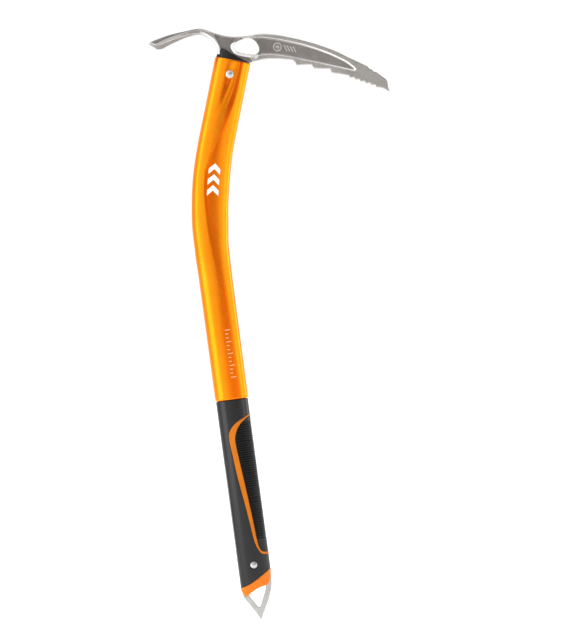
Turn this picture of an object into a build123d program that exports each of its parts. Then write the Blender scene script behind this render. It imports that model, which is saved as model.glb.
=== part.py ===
from build123d import *
import math
import os

# Ice axe, millimetres. Origin at the spike's point, +Z up the straight lower shaft,
# +X toward the pick. The axe is symmetric about the plane Y = 0.

# ---------------------------------------------------------------- driving dimensions
BEND_ANGLE = 19.0            # the shaft leans forward by this much above the bend
BEND_APEX_Z = 432.5          # where the two straight centre lines cross
BEND_RADIUS = 385.0
SHAFT_TOP = 575.0            # length along the centre line, from the origin
TUBE_WALL = 1.8
TUBE_BOTTOM = 48.0

GRIP_TOP = 226.0
NECK_HALF = (14.6, 8.9)      # tube half widths under the grip, X and Y
CORE_HALF = (15.6, 9.9)      # outside of the grip's orange first shot
GRIP_HALF = (16.5, 11.4)     # outside of the black overmould
RIB_PROUD = 0.15             # the orange line stands this far out of the black
FIT = 0.15                   # clearance of plugs inside the tube

RIVET_SHANK_R = 3.0
RIVET_PLAY = 0.05
RIVET_DOME_R = 4.1
SEAT_R, SEAT_HALF = 5.6, 10.2          # flat seats pressed into the tube's flanks for the head rivet
HEAD_RIVET_DROP = 15.1       # below the shaft's top edge, along the centre line
SPIKE_RIVET_Z = 57.3

SPIKE_THICKNESS = 4.0
TANG_THICKNESS, TANG_HALF, TANG_LENGTH = 5.0, 10.6, 46.0
COLLAR_PLUG = 48.0
COLLAR_HALF = (18.0, 10.7)   # half widths of the collar's cheeks, just inside the tube's edge

# Half thickness of the forging at stations along X: the flanges and the recessed webs.
FLANGE_HALF = [(16, 7.0), (34, 6.6), (56, 5.8), (76, 4.4), (112, 3.7), (160, 2.7), (204, 1.7)]
WEB_HALF = [(16, 4.2), (34, 4.2), (56, 4.0), (76, 2.7), (112, 2.2), (160, 1.7), (204, 1.4)]

# Tube above the grip: (distance along the centre line, half width in the bend's plane, half depth).
NECK_END, TUBE_START = 226.4, 228.6
TUBE_WIDTHS = [(228.6, 16.9, 11.0), (300.0, 16.95, 11.0), (350.0, 17.1, 11.0), (378.0, 17.5, 10.9),
               (410.0, 18.65, 10.6), (450.0, 18.95, 10.5), (490.0, 18.4, 10.7), (530.0, 18.25, 10.9),
               (575.0, 18.3, 11.0)]
TUBE_STATIONS = 24

# ---------------------------------------------------------------- outlines in the plane Y = 0
TOP_CREST = [(19.0, 604.5), (26.5, 600.6), (36.0, 596.2), (48.0, 592.2), (62.0, 591.0), (77.4, 591.7),
             (92.0, 589.0), (110.3, 583.0), (130.7, 574.6), (150.0, 564.9), (165.3, 555.0), (179.0, 546.2)]
TOP_STEPS = [(182.3, 543.9), (183.8, 541.4), (186.0, 540.6), (187.4, 538.2), (190.0, 537.3),
             (193.9, 533.5), (198.9, 528.8), (200.3, 526.4), (200.3, 520.4), (201.3, 515.0)]
PICK_HOOK = [(195.4, 519.5), (193.1, 520.6), (190.2, 521.4)]
SMALL_TEETH_START, SMALL_TEETH_END = (187.7, 523.4), (162.5, 536.2)
SMALL_TEETH = 6
SMALL_TOOTH_DEPTH = 1.3
LARGE_TEETH = [(157.4, 538.8), (144.8, 542.3), (143.7, 546.4), (127.9, 549.0), (125.4, 553.3),
               (110.6, 554.8), (109.0, 558.4), (107.2, 560.6)]
LOWER_EDGE = [(107.2, 560.6), (98.0, 562.5), (89.0, 564.2), (79.5, 565.1), (70.0, 564.4)]
BACK_EDGE = [(32.2, 577.4), (33.2, 581.4), (31.4, 586.8), (27.6, 592.2), (20.4, 598.2), (15.0, 600.4)]

EYE = [(49.8, 582.0), (52.0, 585.9), (57.5, 587.9), (64.5, 588.5), (70.4, 586.6), (74.2, 580.8),
       (74.7, 575.0), (71.0, 571.4), (65.0, 572.2), (58.0, 574.3), (52.0, 577.2)]

PICK_POCKET_TOP = [(79.5, 585.2), (90.0, 582.9), (100.0, 580.2), (119.3, 573.2), (141.0, 563.4),
                   (159.0, 552.2), (167.5, 543.4)]
PICK_POCKET_BOTTOM = [(167.5, 543.4), (148.8, 550.4), (130.7, 557.2), (109.0, 564.4), (96.0, 568.8),
                      (84.0, 570.6)]
NECK_POCKET = [(36.4, 580.0), (36.2, 587.0), (32.0, 593.8), (38.0, 592.6), (46.0, 589.4), (45.0, 585.0),
               (44.6, 580.0), (41.5, 578.0)]

# Visible top of the collar's cheeks, from the back forward.
COLLAR_TOP = [(31.6, 576.6), (34.6, 580.2), (37.8, 582.0), (43.0, 578.2), (47.0, 574.9), (52.0, 571.3),
              (58.4, 566.4)]

# The adze: the ridge of its upper face, then the thickness and the droop (mm per mm squared across)
# at each of the ridge's points, and half its outline seen from above.
ADZE_RIDGE = [(-36.3, 596.6), (-31.0, 598.6), (-25.0, 600.1), (-15.0, 602.3), (0.0, 604.0), (10.0, 604.4),
              (24.0, 602.6)]
ADZE_THICKNESS = [0.8, 1.8, 2.6, 3.0, 3.2, 3.4, 3.6]
ADZE_DROOP = [0.0083, 0.0090, 0.0105, 0.0130, 0.0180, 0.0195, 0.0200]
ADZE_PLAN = [(-36.3, 0.0), (-35.4, 9.0), (-32.6, 18.5), (-28.6, 26.0), (-20.0, 22.6), (-10.0, 17.4),
             (0.0, 12.6), (10.0, 9.0), (20.0, 7.0), (26.0, 6.6)]

# The cap's half depth against height.
CAP_DEPTHS = [(4.4, 20.0), (5.6, 26.0), (8.0, 30.0), (10.2, 35.0), (11.3, 41.0), (11.6, 50.0),
              (11.6, 90.0)]

# Orange line round the front pad: its outside and inside, from the top front edge to the bottom one.
LINE_OUTSIDE = [(20.0, 212.2), (10.0, 207.0), (0.0, 201.7), (-6.6, 194.0), (-7.9, 185.0), (-6.7, 172.0),
                (-4.7, 150.0), (-1.8, 128.0), (1.2, 104.0), (4.1, 80.0), (8.4, 69.2), (13.0, 66.7),
                (20.0, 66.9)]
LINE_INSIDE = [(20.0, 211.0), (10.0, 204.8), (3.2, 198.4), (-1.1, 189.5), (-1.8, 181.0), (0.0, 160.0),
               (2.4, 136.0), (5.2, 106.0), (7.4, 80.0), (10.0, 71.8), (14.0, 69.4), (20.0, 69.2)]
# Finger ribs: lowest, highest and pitch.
FRONT_RIBS = (84.0, 200.0, 2.32)
BACK_RIBS = (75.0, 158.0, 2.5)
RIB_DEPTH, RIB_GAP = 0.7, 1.1

GRIP_FOOT = [(-20.0, 34.6), (-12.0, 36.2), (-4.0, 39.8), (5.0, 44.6), (12.0, 48.8), (20.0, 54.0)]
CAP_FOOT = [(-20.0, 35.0), (-15.6, 30.0), (-13.0, 26.6), (-10.2, 26.4), (-6.0, 29.6), (0.0, 33.0),
            (8.0, 35.6), (12.2, 38.2), (15.0, 44.6), (20.0, 52.0)]

SPIKE_BACK = [(-15.4, 34.0), (-15.2, 27.0), (-13.6, 23.2), (-9.8, 17.2), (-5.8, 10.6), (-2.8, 5.2)]
SPIKE_FRONT = [(2.6, 5.2), (7.0, 13.5), (10.6, 20.6), (13.2, 27.4), (14.6, 33.0), (15.2, 40.0)]
SPIKE_EYE = [(-9.6, 27.0), (-5.0, 20.0), (-2.3, 15.3), (-0.5, 13.6), (1.2, 15.0), (4.2, 21.4),
             (7.4, 28.4), (9.4, 34.0)]
SPIKE_TANG_HALF = 11.4
SPIKE_TANG_TOP = 78.0


# ---------------------------------------------------------------- helpers
def path_point(s):
    """Centre line point (x, z) and lean angle at a distance s from the origin."""
    lean = math.radians(BEND_ANGLE)
    start = BEND_APEX_Z - BEND_RADIUS * math.tan(lean / 2)
    if s <= start:
        return 0.0, s, 0.0
    turned = min((s - start) / BEND_RADIUS, lean)
    beyond = s - start - BEND_RADIUS * turned
    x = BEND_RADIUS * (1 - math.cos(turned)) + beyond * math.sin(turned)
    z = start + BEND_RADIUS * math.sin(turned) + beyond * math.cos(turned)
    return x, z, turned


def section_plane(s):
    x, z, lean = path_point(s)
    return Plane(origin=(x, 0, z), x_dir=(math.cos(lean), 0, -math.sin(lean)),
                 z_dir=(math.sin(lean), 0, math.cos(lean)))


def oval(s, half_width, half_depth):
    return section_plane(s) * Ellipse(half_width, half_depth)


def interpolate(table, s, column):
    """Value of a column of the table at s, blended smoothly between its rows."""
    for low, high in zip(table, table[1:]):
        if s <= high[0]:
            t = (s - low[0]) / (high[0] - low[0])
            t = t * t * (3 - 2 * t)
            return low[column] + t * (high[column] - low[column])
    return table[-1][column]


def tube_loft(inset=0.0):
    """The bent part of the tube, from the grip's top to the head, smaller by inset all round."""
    step = (SHAFT_TOP - TUBE_START) / (TUBE_STATIONS - 1)
    stations = [TUBE_START + i * step for i in range(TUBE_STATIONS)]
    return loft([oval(s, interpolate(TUBE_WIDTHS, s, 1) - inset, interpolate(TUBE_WIDTHS, s, 2) - inset)
                 for s in stations])


def straight_oval(half, bottom, top, grow=0.0):
    face = Plane.XY.offset(bottom) * Ellipse(half[0] + grow, half[1] + grow)
    return extrude(face, amount=top - bottom)


def flat(points):
    """Points (x, z) as 3D points in the plane Y = 0."""
    return [(x, 0, z) for x, z in points]


def curve(points):
    return Spline(*flat(points))


def corners(points):
    return Polyline(*flat(points))


def plate(edges, half_thickness):
    return extrude(make_face(Curve() + edges), amount=half_thickness, dir=(0, 1, 0), both=True)


def wedge(stations, z_low=500, z_high=620):
    """Everything closer to the plane Y = 0 than the half thickness given along X."""
    outline = stations + [(x, -y) for x, y in reversed(stations)]
    outline = Polyline(*[(x, y, z_low) for x, y in outline], close=True)
    return extrude(make_face(outline), amount=z_high - z_low, dir=(0, 0, 1))


def across(x, z, radius, length):
    return Pos(x, 0, z) * Rot(90, 0, 0) * Cylinder(radius, length)


def top_frame(u, a):
    """Point (x, z) from the shaft's top centre: u forward across the shaft, a up along it."""
    x, z, lean = path_point(SHAFT_TOP)
    return x + u * math.cos(lean) + a * math.sin(lean), z - u * math.sin(lean) + a * math.cos(lean)


def save(name, shape):
    shape.label = name
    export_step(shape, f"parts/{name}.step")


# ---------------------------------------------------------------- shaft
def tube_solid(inset):
    """Outside of the tube, or its bore when inset by the wall: neck, shoulder and bent part."""
    neck = straight_oval(NECK_HALF, TUBE_BOTTOM, NECK_END, -inset)
    start = (TUBE_WIDTHS[0][1] - inset, TUBE_WIDTHS[0][2] - inset)
    shoulder = loft([Plane.XY.offset(NECK_END) * Ellipse(NECK_HALF[0] - inset, NECK_HALF[1] - inset),
                     Plane.XY.offset(TUBE_START) * Ellipse(*start)], ruled=True)
    return neck + shoulder + tube_loft(inset)


def build_shaft():
    tube = tube_solid(0) - tube_solid(TUBE_WALL)
    x, z = top_frame(0, -HEAD_RIVET_DROP)
    tube -= across(x, z, RIVET_SHANK_R + RIVET_PLAY, 60)
    tube -= across(0, SPIKE_RIVET_Z, RIVET_SHANK_R + RIVET_PLAY, 60)
    return tube - (across(x, z, SEAT_R, 60) - across(x, z, SEAT_R, 2 * SEAT_HALF))


# ---------------------------------------------------------------- head
def small_teeth():
    """Saw teeth under the tip, from the hook back to the large teeth."""
    (x0, z0), (x1, z1) = SMALL_TEETH_START, SMALL_TEETH_END
    points = []
    for i in range(SMALL_TEETH):
        t = i / (SMALL_TEETH - 1)
        x, z = x0 + t * (x1 - x0), z0 + t * (z1 - z0)
        points += [(x, z - SMALL_TOOTH_DEPTH), (x - 0.5, z + 0.9)]
    return points


def in_top_frame(u0, u1, a0, a1):
    """Block between two distances across and two along the shaft's top."""
    x, z = top_frame((u0 + u1) / 2, (a0 + a1) / 2)
    return Pos(x, 0, z) * Rot(0, BEND_ANGLE, 0) * Box(u1 - u0, 60, a1 - a0)


def head_outline():
    seat_front = top_frame(17.9, 0)
    tang = [top_frame(TANG_HALF, 0), top_frame(-TANG_HALF, 0)]
    underside = [TOP_STEPS[-1]] + PICK_HOOK + small_teeth() + LARGE_TEETH
    root = [LOWER_EDGE[-1], seat_front] + tang + [BACK_EDGE[0]]
    return [curve(TOP_CREST), corners([TOP_CREST[-1]] + TOP_STEPS), corners(underside), curve(LOWER_EDGE),
            corners(root), curve(BACK_EDGE), corners([BACK_EDGE[-1], TOP_CREST[0]])]


def adze_section(y):
    """Side profile of the blade at a distance y from the middle."""
    top = [(x, z - k * y * y) for (x, z), k in zip(ADZE_RIDGE, ADZE_DROOP)]
    low = [(x, z - t) for (x, z), t in zip(top, ADZE_THICKNESS)]
    lift = lambda points: [(x, y, z) for x, z in points]
    ends = [Line(lift(top)[-1], lift(low)[-1]), Line(lift(low)[0], lift(top)[0])]
    edges = [Spline(*lift(top)), ends[0], Spline(*lift(low)[::-1]), ends[1]]
    return make_face(Curve() + edges)


def build_adze():
    blade = loft([adze_section(y) for y in (-28, -21, -14, -7, 0, 7, 14, 21, 28)])
    side = [(x, y, 560) for x, y in ADZE_PLAN]
    mirrored = [(x, -y, 560) for x, y in ADZE_PLAN]
    rim = [Spline(*side[:4]), Spline(*side[3:]), Line(side[-1], mirrored[-1]),
           Spline(*mirrored[:2:-1]), Spline(*mirrored[3::-1])]
    return blade & extrude(make_face(Curve() + rim), amount=60, dir=(0, 0, 1))


def eye_cutter():
    """The clip eye, straight through the head."""
    return extrude(make_face(Spline(*flat(EYE), periodic=True)), amount=20, dir=(0, 1, 0), both=True)


def build_head():
    body = plate(head_outline(), 8) & wedge(FLANGE_HALF)
    outside_web = Box(260, 40, 160, align=(Align.MIN, Align.CENTER, Align.CENTER))
    outside_web = Pos(0, 0, 560) * outside_web - wedge(WEB_HALF, 470, 650)
    pick_pocket = [curve(PICK_POCKET_TOP), curve(PICK_POCKET_BOTTOM),
                   Line(flat(PICK_POCKET_BOTTOM)[-1], flat(PICK_POCKET_TOP)[0])]
    body -= plate(pick_pocket, 12) & outside_web
    body -= plate([corners(NECK_POCKET + NECK_POCKET[:1])], 12) & outside_web
    body -= eye_cutter()
    slab = Pos(0, 0, 560) * Box(400, TANG_THICKNESS, 400)
    tang = in_top_frame(-TANG_HALF, TANG_HALF, -TANG_LENGTH, 1) & slab
    body = (body - in_top_frame(-40, 40, -90, 0)) + tang + build_adze()
    x, z = top_frame(0, -HEAD_RIVET_DROP)
    return body - across(x, z, RIVET_SHANK_R + RIVET_PLAY, 60)


# ---------------------------------------------------------------- collar
def build_collar(head):
    """Moulded plug in the shaft's top, with cheeks that fill the gap under the head."""
    plug = tube_loft(TUBE_WALL + FIT) & in_top_frame(-24, 24, -COLLAR_PLUG, 0)
    rim = extrude(oval(SHAFT_TOP, *COLLAR_HALF), amount=20)
    seat = [top_frame(13.5, 0), top_frame(-18, 0), COLLAR_TOP[0]]
    cheeks = rim & plate([corners(COLLAR_TOP + seat)], 20)
    collar = plug + cheeks - head
    x, z = top_frame(0, -HEAD_RIVET_DROP)
    return collar - across(x, z, RIVET_SHANK_R + RIVET_PLAY, 60)


# ---------------------------------------------------------------- rivets
def build_rivet(x, z, seat_half, dome_height):
    """Shank along Y with a dome on both ends; seat_half is half the distance between its seats."""
    sphere_r = (RIVET_DOME_R ** 2 + dome_height ** 2) / (2 * dome_height)
    rivet = across(x, z, RIVET_SHANK_R, 2 * seat_half)
    for side in (1, -1):
        ball = Pos(x, side * (seat_half + dome_height - sphere_r), z) * Sphere(sphere_r)
        slab = Pos(x, side * (seat_half + dome_height), z) * Box(30, 2 * dome_height, 30)
        rivet += ball & slab
    return rivet


# ---------------------------------------------------------------- grip
def facing_front(points):
    """Everything ahead of a line drawn on both flanks of the grip."""
    ahead = [(40.0, points[-1][1]), (40.0, points[0][1])]
    return plate([curve(points), corners(points[-1:] + ahead + points[:1])], 20)


def above(points, top=300.0):
    """Everything above a line that crosses the shaft."""
    corner_points = [points[-1], (points[-1][0], top), (points[0][0], top), points[0]]
    return plate([curve(points), corners(corner_points)], 20)


def ribs(bottom, top, pitch, x_low, x_high):
    """Grooves round the grip between two heights, as cutters that bite RIB_DEPTH deep."""
    ring = straight_oval(GRIP_HALF, 0, RIB_GAP, 3) - straight_oval(GRIP_HALF, -1, RIB_GAP + 1, -RIB_DEPTH)
    ring &= Pos((x_low + x_high) / 2, 0, 0) * Box(x_high - x_low, 60, 10)
    count = int((top - bottom) / pitch) + 1
    return [Pos(0, 0, bottom + i * pitch) * ring for i in range(count)]


def rivet_pocket():
    return across(0, SPIKE_RIVET_Z, RIVET_DOME_R + 0.35, 60)


def grip_shell(inner, grow, bottom=10, top=GRIP_TOP + 10):
    """Oval tube outside a pair of half widths, out to the grip's surface plus grow."""
    return straight_oval(GRIP_HALF, bottom, top, grow) - straight_oval(inner, bottom - 1, top + 1)


def build_grip_core():
    """Sleeve over the tube, with the line left standing between the two black regions."""
    neck = (NECK_HALF[0] + 0.05, NECK_HALF[1] + 0.05)
    core = grip_shell(neck, RIB_PROUD, 20, GRIP_TOP)
    core -= grip_shell(CORE_HALF, 3) & facing_front(LINE_INSIDE)
    core -= grip_shell(CORE_HALF, 3) - facing_front(LINE_OUTSIDE)
    return (core & above(GRIP_FOOT)) - rivet_pocket()


def build_grip_sleeve():
    sleeve = grip_shell(CORE_HALF, 0, 20, GRIP_TOP) - rivet_pocket()
    sleeve = (sleeve & above(GRIP_FOOT)) - facing_front(LINE_OUTSIDE)
    return sleeve - ribs(*BACK_RIBS, -24, -6)


def build_front_pad():
    pad = grip_shell(CORE_HALF, 0, 20, GRIP_TOP) & facing_front(LINE_INSIDE)
    return pad - ribs(*FRONT_RIBS, -4, 24)


# ---------------------------------------------------------------- end cap and spike
def spike_profile():
    tang = [SPIKE_FRONT[-1], (14.4, 44.5), (SPIKE_TANG_HALF, TUBE_BOTTOM - 0.4),
            (SPIKE_TANG_HALF, SPIKE_TANG_TOP), (-SPIKE_TANG_HALF, SPIKE_TANG_TOP),
            (-SPIKE_TANG_HALF, 40.0), (-14.0, 34.0), SPIKE_BACK[0]]
    point = [SPIKE_BACK[-1], (0.0, 0.0), SPIKE_FRONT[0]]
    return [curve(SPIKE_BACK), corners(point), curve(SPIKE_FRONT), corners(tang)]


def build_spike():
    blade = plate(spike_profile(), SPIKE_THICKNESS / 2)
    top = [SPIKE_EYE[-1], (9.2, 37.0), (-9.2, 37.0), SPIKE_EYE[0]]
    blade -= plate([curve(SPIKE_EYE), corners(top)], 10)
    half = SPIKE_THICKNESS / 2
    edge = [(0.5, 0), (half, 12), (half, 90), (-half, 90), (-half, 12), (-0.5, 0)]
    taper = Polyline(*[(-40, y, z) for y, z in edge], close=True)
    blade &= extrude(make_face(taper), amount=80, dir=(1, 0, 0))
    return blade - across(0, SPIKE_RIVET_Z, RIVET_SHANK_R + RIVET_PLAY, 60)


def build_end_cap(spike):
    """Cap under the grip, its neck that meets the tube's end, and its plug inside the tube."""
    outer = straight_oval(GRIP_HALF, 20, 60) & above(CAP_FOOT)
    outer -= above(GRIP_FOOT) + straight_oval(NECK_HALF, TUBE_BOTTOM, 70, 0.05)
    outer &= extrude(make_face(cap_taper()), amount=80, dir=(1, 0, 0))
    neck = straight_oval(NECK_HALF, 34, TUBE_BOTTOM, -0.1) & above(CAP_FOOT)
    plug = straight_oval(NECK_HALF, 40, SPIKE_TANG_TOP, -TUBE_WALL - FIT)
    cap = outer + (neck & extrude(make_face(cap_taper()), amount=80, dir=(1, 0, 0))) + plug
    return cap - spike - across(0, SPIKE_RIVET_Z, RIVET_SHANK_R + RIVET_PLAY, 60)


def cap_taper():
    """The cap seen from the back: narrow at its foot, as deep as the grip at its top."""
    side = [(-40, y, z) for y, z in CAP_DEPTHS]
    other = [(-40, -y, z) for y, z in CAP_DEPTHS]
    edges = [Spline(*side), Line(side[-1], other[-1]), Spline(*reversed(other)), Line(other[0], side[0])]
    return Curve() + edges


def main():
    os.makedirs("parts", exist_ok=True)
    head_x, head_z = top_frame(0, -HEAD_RIVET_DROP)
    head = build_head()
    spike = build_spike()
    save("head", head)
    save("head_collar", build_collar(head))
    save("shaft", build_shaft())
    save("head_rivet", build_rivet(head_x, head_z, SEAT_HALF, 1.7))
    save("grip_core", build_grip_core())
    save("grip_sleeve", build_grip_sleeve())
    save("grip_front_pad", build_front_pad())
    save("end_cap", build_end_cap(spike))
    save("spike", spike)
    save("spike_rivet", build_rivet(0, SPIKE_RIVET_Z, NECK_HALF[1] + 0.05, 2.5))


main()
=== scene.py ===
import math

import bpy
import numpy as np
from mathutils import Matrix, Vector


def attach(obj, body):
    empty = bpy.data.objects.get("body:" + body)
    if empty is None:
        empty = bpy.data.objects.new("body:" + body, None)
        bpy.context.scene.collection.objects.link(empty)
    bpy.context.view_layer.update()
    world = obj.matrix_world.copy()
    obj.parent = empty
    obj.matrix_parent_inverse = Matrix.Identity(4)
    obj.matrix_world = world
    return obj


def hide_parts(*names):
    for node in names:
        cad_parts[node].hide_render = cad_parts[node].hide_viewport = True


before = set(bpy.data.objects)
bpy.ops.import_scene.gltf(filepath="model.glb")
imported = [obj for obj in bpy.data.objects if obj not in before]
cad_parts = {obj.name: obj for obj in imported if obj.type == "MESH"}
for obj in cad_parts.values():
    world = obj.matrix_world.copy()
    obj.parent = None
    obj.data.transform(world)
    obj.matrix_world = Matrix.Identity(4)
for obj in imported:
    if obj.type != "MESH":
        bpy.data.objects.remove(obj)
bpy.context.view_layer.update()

MM = 0.001


# ---------------- small geometry tools, millimetres
def smooth_line(points, closed=False, steps=8):
    """Points along a Catmull-Rom curve through the given ones."""
    p = np.array(points, float)
    if closed:
        p = np.vstack([p[-1:], p, p[:2]])
    else:
        p = np.vstack([2 * p[0] - p[1], p, 2 * p[-1] - p[-2]])
    out = []
    for a, b, c, d in zip(p, p[1:], p[2:], p[3:]):
        for t in np.arange(steps) / steps:
            out.append(0.5 * (2 * b + (c - a) * t + (2 * a - 5 * b + 4 * c - d) * t ** 2
                              + (3 * b - a - 3 * c + d) * t ** 3))
    if not closed:
        out.append(p[-2])
    return np.array(out)


def smooth_table(xs, values):
    """A table's own smooth curve, as two columns for np.interp."""
    line = smooth_line(list(zip(xs, values)))
    return line[:, 0], line[:, 1]


def line_distance(x, y, points, closed=False):
    """Distance from (x, y) to a polyline."""
    p = np.array(points, float)
    if closed:
        p = np.vstack([p, p[:1]])
    best = np.full(np.shape(x), 1e9)
    for (x0, y0), (x1, y1) in zip(p, p[1:]):
        dx, dy = x1 - x0, y1 - y0
        t = np.clip(((x - x0) * dx + (y - y0) * dy) / max(dx * dx + dy * dy, 1e-12), 0, 1)
        best = np.minimum(best, (x - x0 - t * dx) ** 2 + (y - y0 - t * dy) ** 2)
    return np.sqrt(best)


def signed_distance(x, y, outline):
    """Distance to a closed outline, negative inside it."""
    p = np.array(outline, float)
    inside = np.zeros(np.shape(x), bool)
    for (x0, y0), (x1, y1) in zip(p, np.roll(p, -1, axis=0)):
        if y0 != y1:
            crosses = ((y0 > y) != (y1 > y)) & (x < (x1 - x0) * (y - y0) / (y1 - y0) + x0)
            inside ^= crosses
    return np.where(inside, -1, 1) * line_distance(x, y, p, True)


def ramp(value, low, high):
    """Smooth step: 0 up to low, 1 from high on."""
    t = np.clip((value - low) / (high - low), 0, 1)
    return t * t * (3 - 2 * t)


def both(a, b, radius):
    """Intersection of two distance fields with a rounded edge."""
    corner = np.hypot(np.maximum(a + radius, 0), np.maximum(b + radius, 0))
    return np.minimum(-radius, np.maximum(a, b)) + corner


def either(a, b, radius):
    """Union of two distance fields with a blended joint."""
    h = np.maximum(radius - np.abs(a - b), 0) / radius
    return np.minimum(a, b) - h * h * radius / 4


CUBE = [(i, j, k) for i in (0, 1) for j in (0, 1) for k in (0, 1)]
LATTICE_HALF = 4096                      # lattice points that a mesh may reach either way


def lattice_block(step, *ranges):
    """Lowest and highest lattice point of a block, from its ranges of x, y and z."""
    return tuple(zip(*((int(low / step), int(high / step)) for low, high in ranges)))


def cell_number(cell, low):
    """One number for a lattice cell, the same in every block."""
    i, j, k = (part + offset + LATTICE_HALF for part, offset in zip(cell, low))
    return (i * 2 * LATTICE_HALF + j) * 2 * LATTICE_HALF + k


def crossed_cells(f):
    """Cells that the surface f = 0 passes through, and the middle of its crossings in each one."""
    cells = np.array(f.shape) - 1
    corner = {c: f[c[0]:c[0] + cells[0], c[1]:c[1] + cells[1], c[2]:c[2] + cells[2]] for c in CUBE}
    negative = sum((corner[c] < 0).astype(np.int8) for c in CUBE)
    mixed = np.nonzero((negative > 0) & (negative < 8))
    total = np.zeros((len(mixed[0]), 3))
    count = np.zeros(len(mixed[0]))
    for c in CUBE:
        for axis in range(3):
            if c[axis]:
                continue
            d = tuple(v + (i == axis) for i, v in enumerate(c))
            a, b = corner[c][mixed], corner[d][mixed]
            hit = (a < 0) != (b < 0)
            t = np.where(hit, a / np.where(hit, a - b, 1), 0)
            place = np.array(c, float)[None, :].repeat(len(t), 0)
            place[:, axis] += t
            total += place * hit[:, None]
            count += hit
    return mixed, total / count[:, None]


def crossed_edges(f, axis):
    """Lattice edges along an axis that the surface crosses, and whether it faces along them."""
    ahead = [slice(1, -1)] * 3
    ahead[axis] = slice(2, None)
    a, b = f[1:-1, 1:-1, 1:-1], f[tuple(ahead)]
    edge = np.array(np.nonzero((a < 0) != (b < 0)))
    return edge + 1, a[tuple(edge)] < 0


def surface_net(field, blocks, step):
    """Quad mesh of field = 0, sampled on one lattice in blocks of owned lattice points."""
    all_numbers, all_places, all_quads = [], [], []
    for low, high in blocks:
        axes = [np.arange(low[i] - 1, high[i] + 1) for i in range(3)]
        f = field(*np.meshgrid(*[a * step for a in axes], indexing="ij", sparse=True))
        mixed, places = crossed_cells(f)
        all_numbers.append(cell_number(mixed, low))
        all_places.append((places + np.array(mixed).T + np.array(low) - 1) * step)
        for axis in range(3):
            edge, outward = crossed_edges(f, axis)
            ring = []
            for du, dv in ((0, 0), (-1, 0), (-1, -1), (0, -1)):
                shift = np.zeros((3, 1), int)
                shift[(axis + 1) % 3], shift[(axis + 2) % 3] = du, dv
                ring.append(cell_number(edge + shift, low))
            ring = np.array(ring).T
            ring[~outward] = ring[~outward][:, ::-1]
            all_quads.append(ring)
    numbers, first = np.unique(np.concatenate(all_numbers), return_index=True)
    places = np.concatenate(all_places)[first]
    return places, np.searchsorted(numbers, np.concatenate(all_quads))


# ---------------- head
# Half thickness of the forging at stations along X: its flanges and its recessed webs. The outlines and
# curves after them are (x, z) in the side view, except the adze's plan, which is (x, y).
FLANGE_AT = ([6, 18, 34, 56, 76, 112, 160, 204], [3.0, 6.0, 6.5, 5.8, 4.4, 3.7, 2.7, 1.7])
WEB_AT = ([16, 34, 56, 76, 112, 160, 204], [4.2, 4.2, 4.0, 2.7, 2.2, 1.7, 1.3])
TOP_CURVE = [(7.0, 603.6), (14.0, 604.1), (19.5, 604.0), (26.5, 601.2), (36.0, 596.6), (48.0, 592.6),
             (62.0, 591.2), (77.4, 591.7), (92.0, 589.0), (110.3, 583.0), (130.7, 574.7), (150.0, 564.9),
             (165.3, 555.0), (179.0, 546.2)]
TOP_STEPS = [(182.3, 543.9), (183.8, 541.4), (186.0, 540.6), (187.4, 538.2), (190.0, 537.3),
             (193.9, 533.5), (198.9, 528.8), (200.3, 526.4), (200.3, 520.4), (201.3, 515.0)]
HOOK = [(195.4, 519.5), (193.1, 520.6), (190.2, 521.4)]
SMALL_TEETH = ((187.7, 523.4), (162.5, 536.2), 6, 1.3)           # first, last, count, depth
LARGE_TEETH = [(157.4, 538.8), (144.8, 542.3), (143.7, 546.4), (127.9, 549.0), (125.4, 553.3),
               (110.6, 554.8), (109.0, 558.4), (107.2, 560.6)]
LOWER_CURVE = [(107.2, 560.6), (98.0, 562.5), (89.0, 564.2), (79.5, 565.1), (70.0, 564.4)]
SEAT_LINE = [(64.2, 564.0), (62.8, 562.9), (56.4, 565.2), (36.4, 572.0)]
BACK_CURVE = [(32.2, 577.4), (33.2, 581.4), (31.4, 586.8), (27.6, 592.2), (20.4, 598.2), (14.0, 600.6),
              (7.0, 601.6)]
EYE_CURVE = [(49.8, 582.0), (52.0, 585.9), (57.5, 587.9), (64.5, 588.5), (70.4, 586.6), (74.2, 580.8),
             (74.7, 575.0), (71.0, 571.4), (65.0, 572.2), (58.0, 574.3), (52.0, 577.2)]
PICK_POCKET = ([(66.0, 587.6), (78.0, 587.2), (90.0, 584.4), (100.0, 581.4), (119.3, 574.6),
                (141.0, 564.4), (159.0, 553.2), (168.4, 544.6)],
               [(169.4, 542.4), (166.0, 542.6), (148.8, 548.8), (130.7, 555.4), (109.0, 562.9),
                (96.0, 567.1), (84.0, 569.6), (66.0, 571.0)])
# The neck pocket runs down below the eye to the seat; there its darker tone also stands in as painted shade
# by the collar.
NECK_POCKET = [(36.0, 573.0), (36.4, 581.0), (35.0, 588.0), (31.6, 594.6), (27.0, 598.6), (33.0, 596.6),
               (40.0, 593.6), (46.0, 591.6), (52.0, 590.4), (58.0, 590.2), (62.0, 586.0), (60.0, 578.0),
               (64.4, 570.6), (64.6, 561.0), (50.0, 561.0)]
POCKET_EDGE = (-0.9, 0.7)                # where a pocket's wall starts and ends, across its outline
EYE_MIDDLE = (62.0, 580.0)
EYE_BEVEL_DEPTH, EYE_BEVEL_SLOPE, EYE_RIM_HALF, EYE_BEVEL_REACH = 2.5, 0.78, 0.9, 3.4
ADZE_X = [-36.3, -31.0, -25.0, -15.0, 0.0, 10.0, 17.0, 24.0, 31.0]
ADZE_TOP = [596.6, 598.6, 600.1, 602.3, 604.0, 604.4, 603.8, 601.2, 597.0]
ADZE_THICKNESS = [2.0, 2.4, 2.8, 3.0, 3.2, 3.4, 3.5, 3.6, 3.6]
ADZE_DROOP = [0.0083, 0.0090, 0.0105, 0.0130, 0.0180, 0.0195, 0.0200, 0.0210, 0.0220]
ADZE_SHADE_FROM = (590.0, 591.0)         # its upper face gets painted shade above this height
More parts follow.
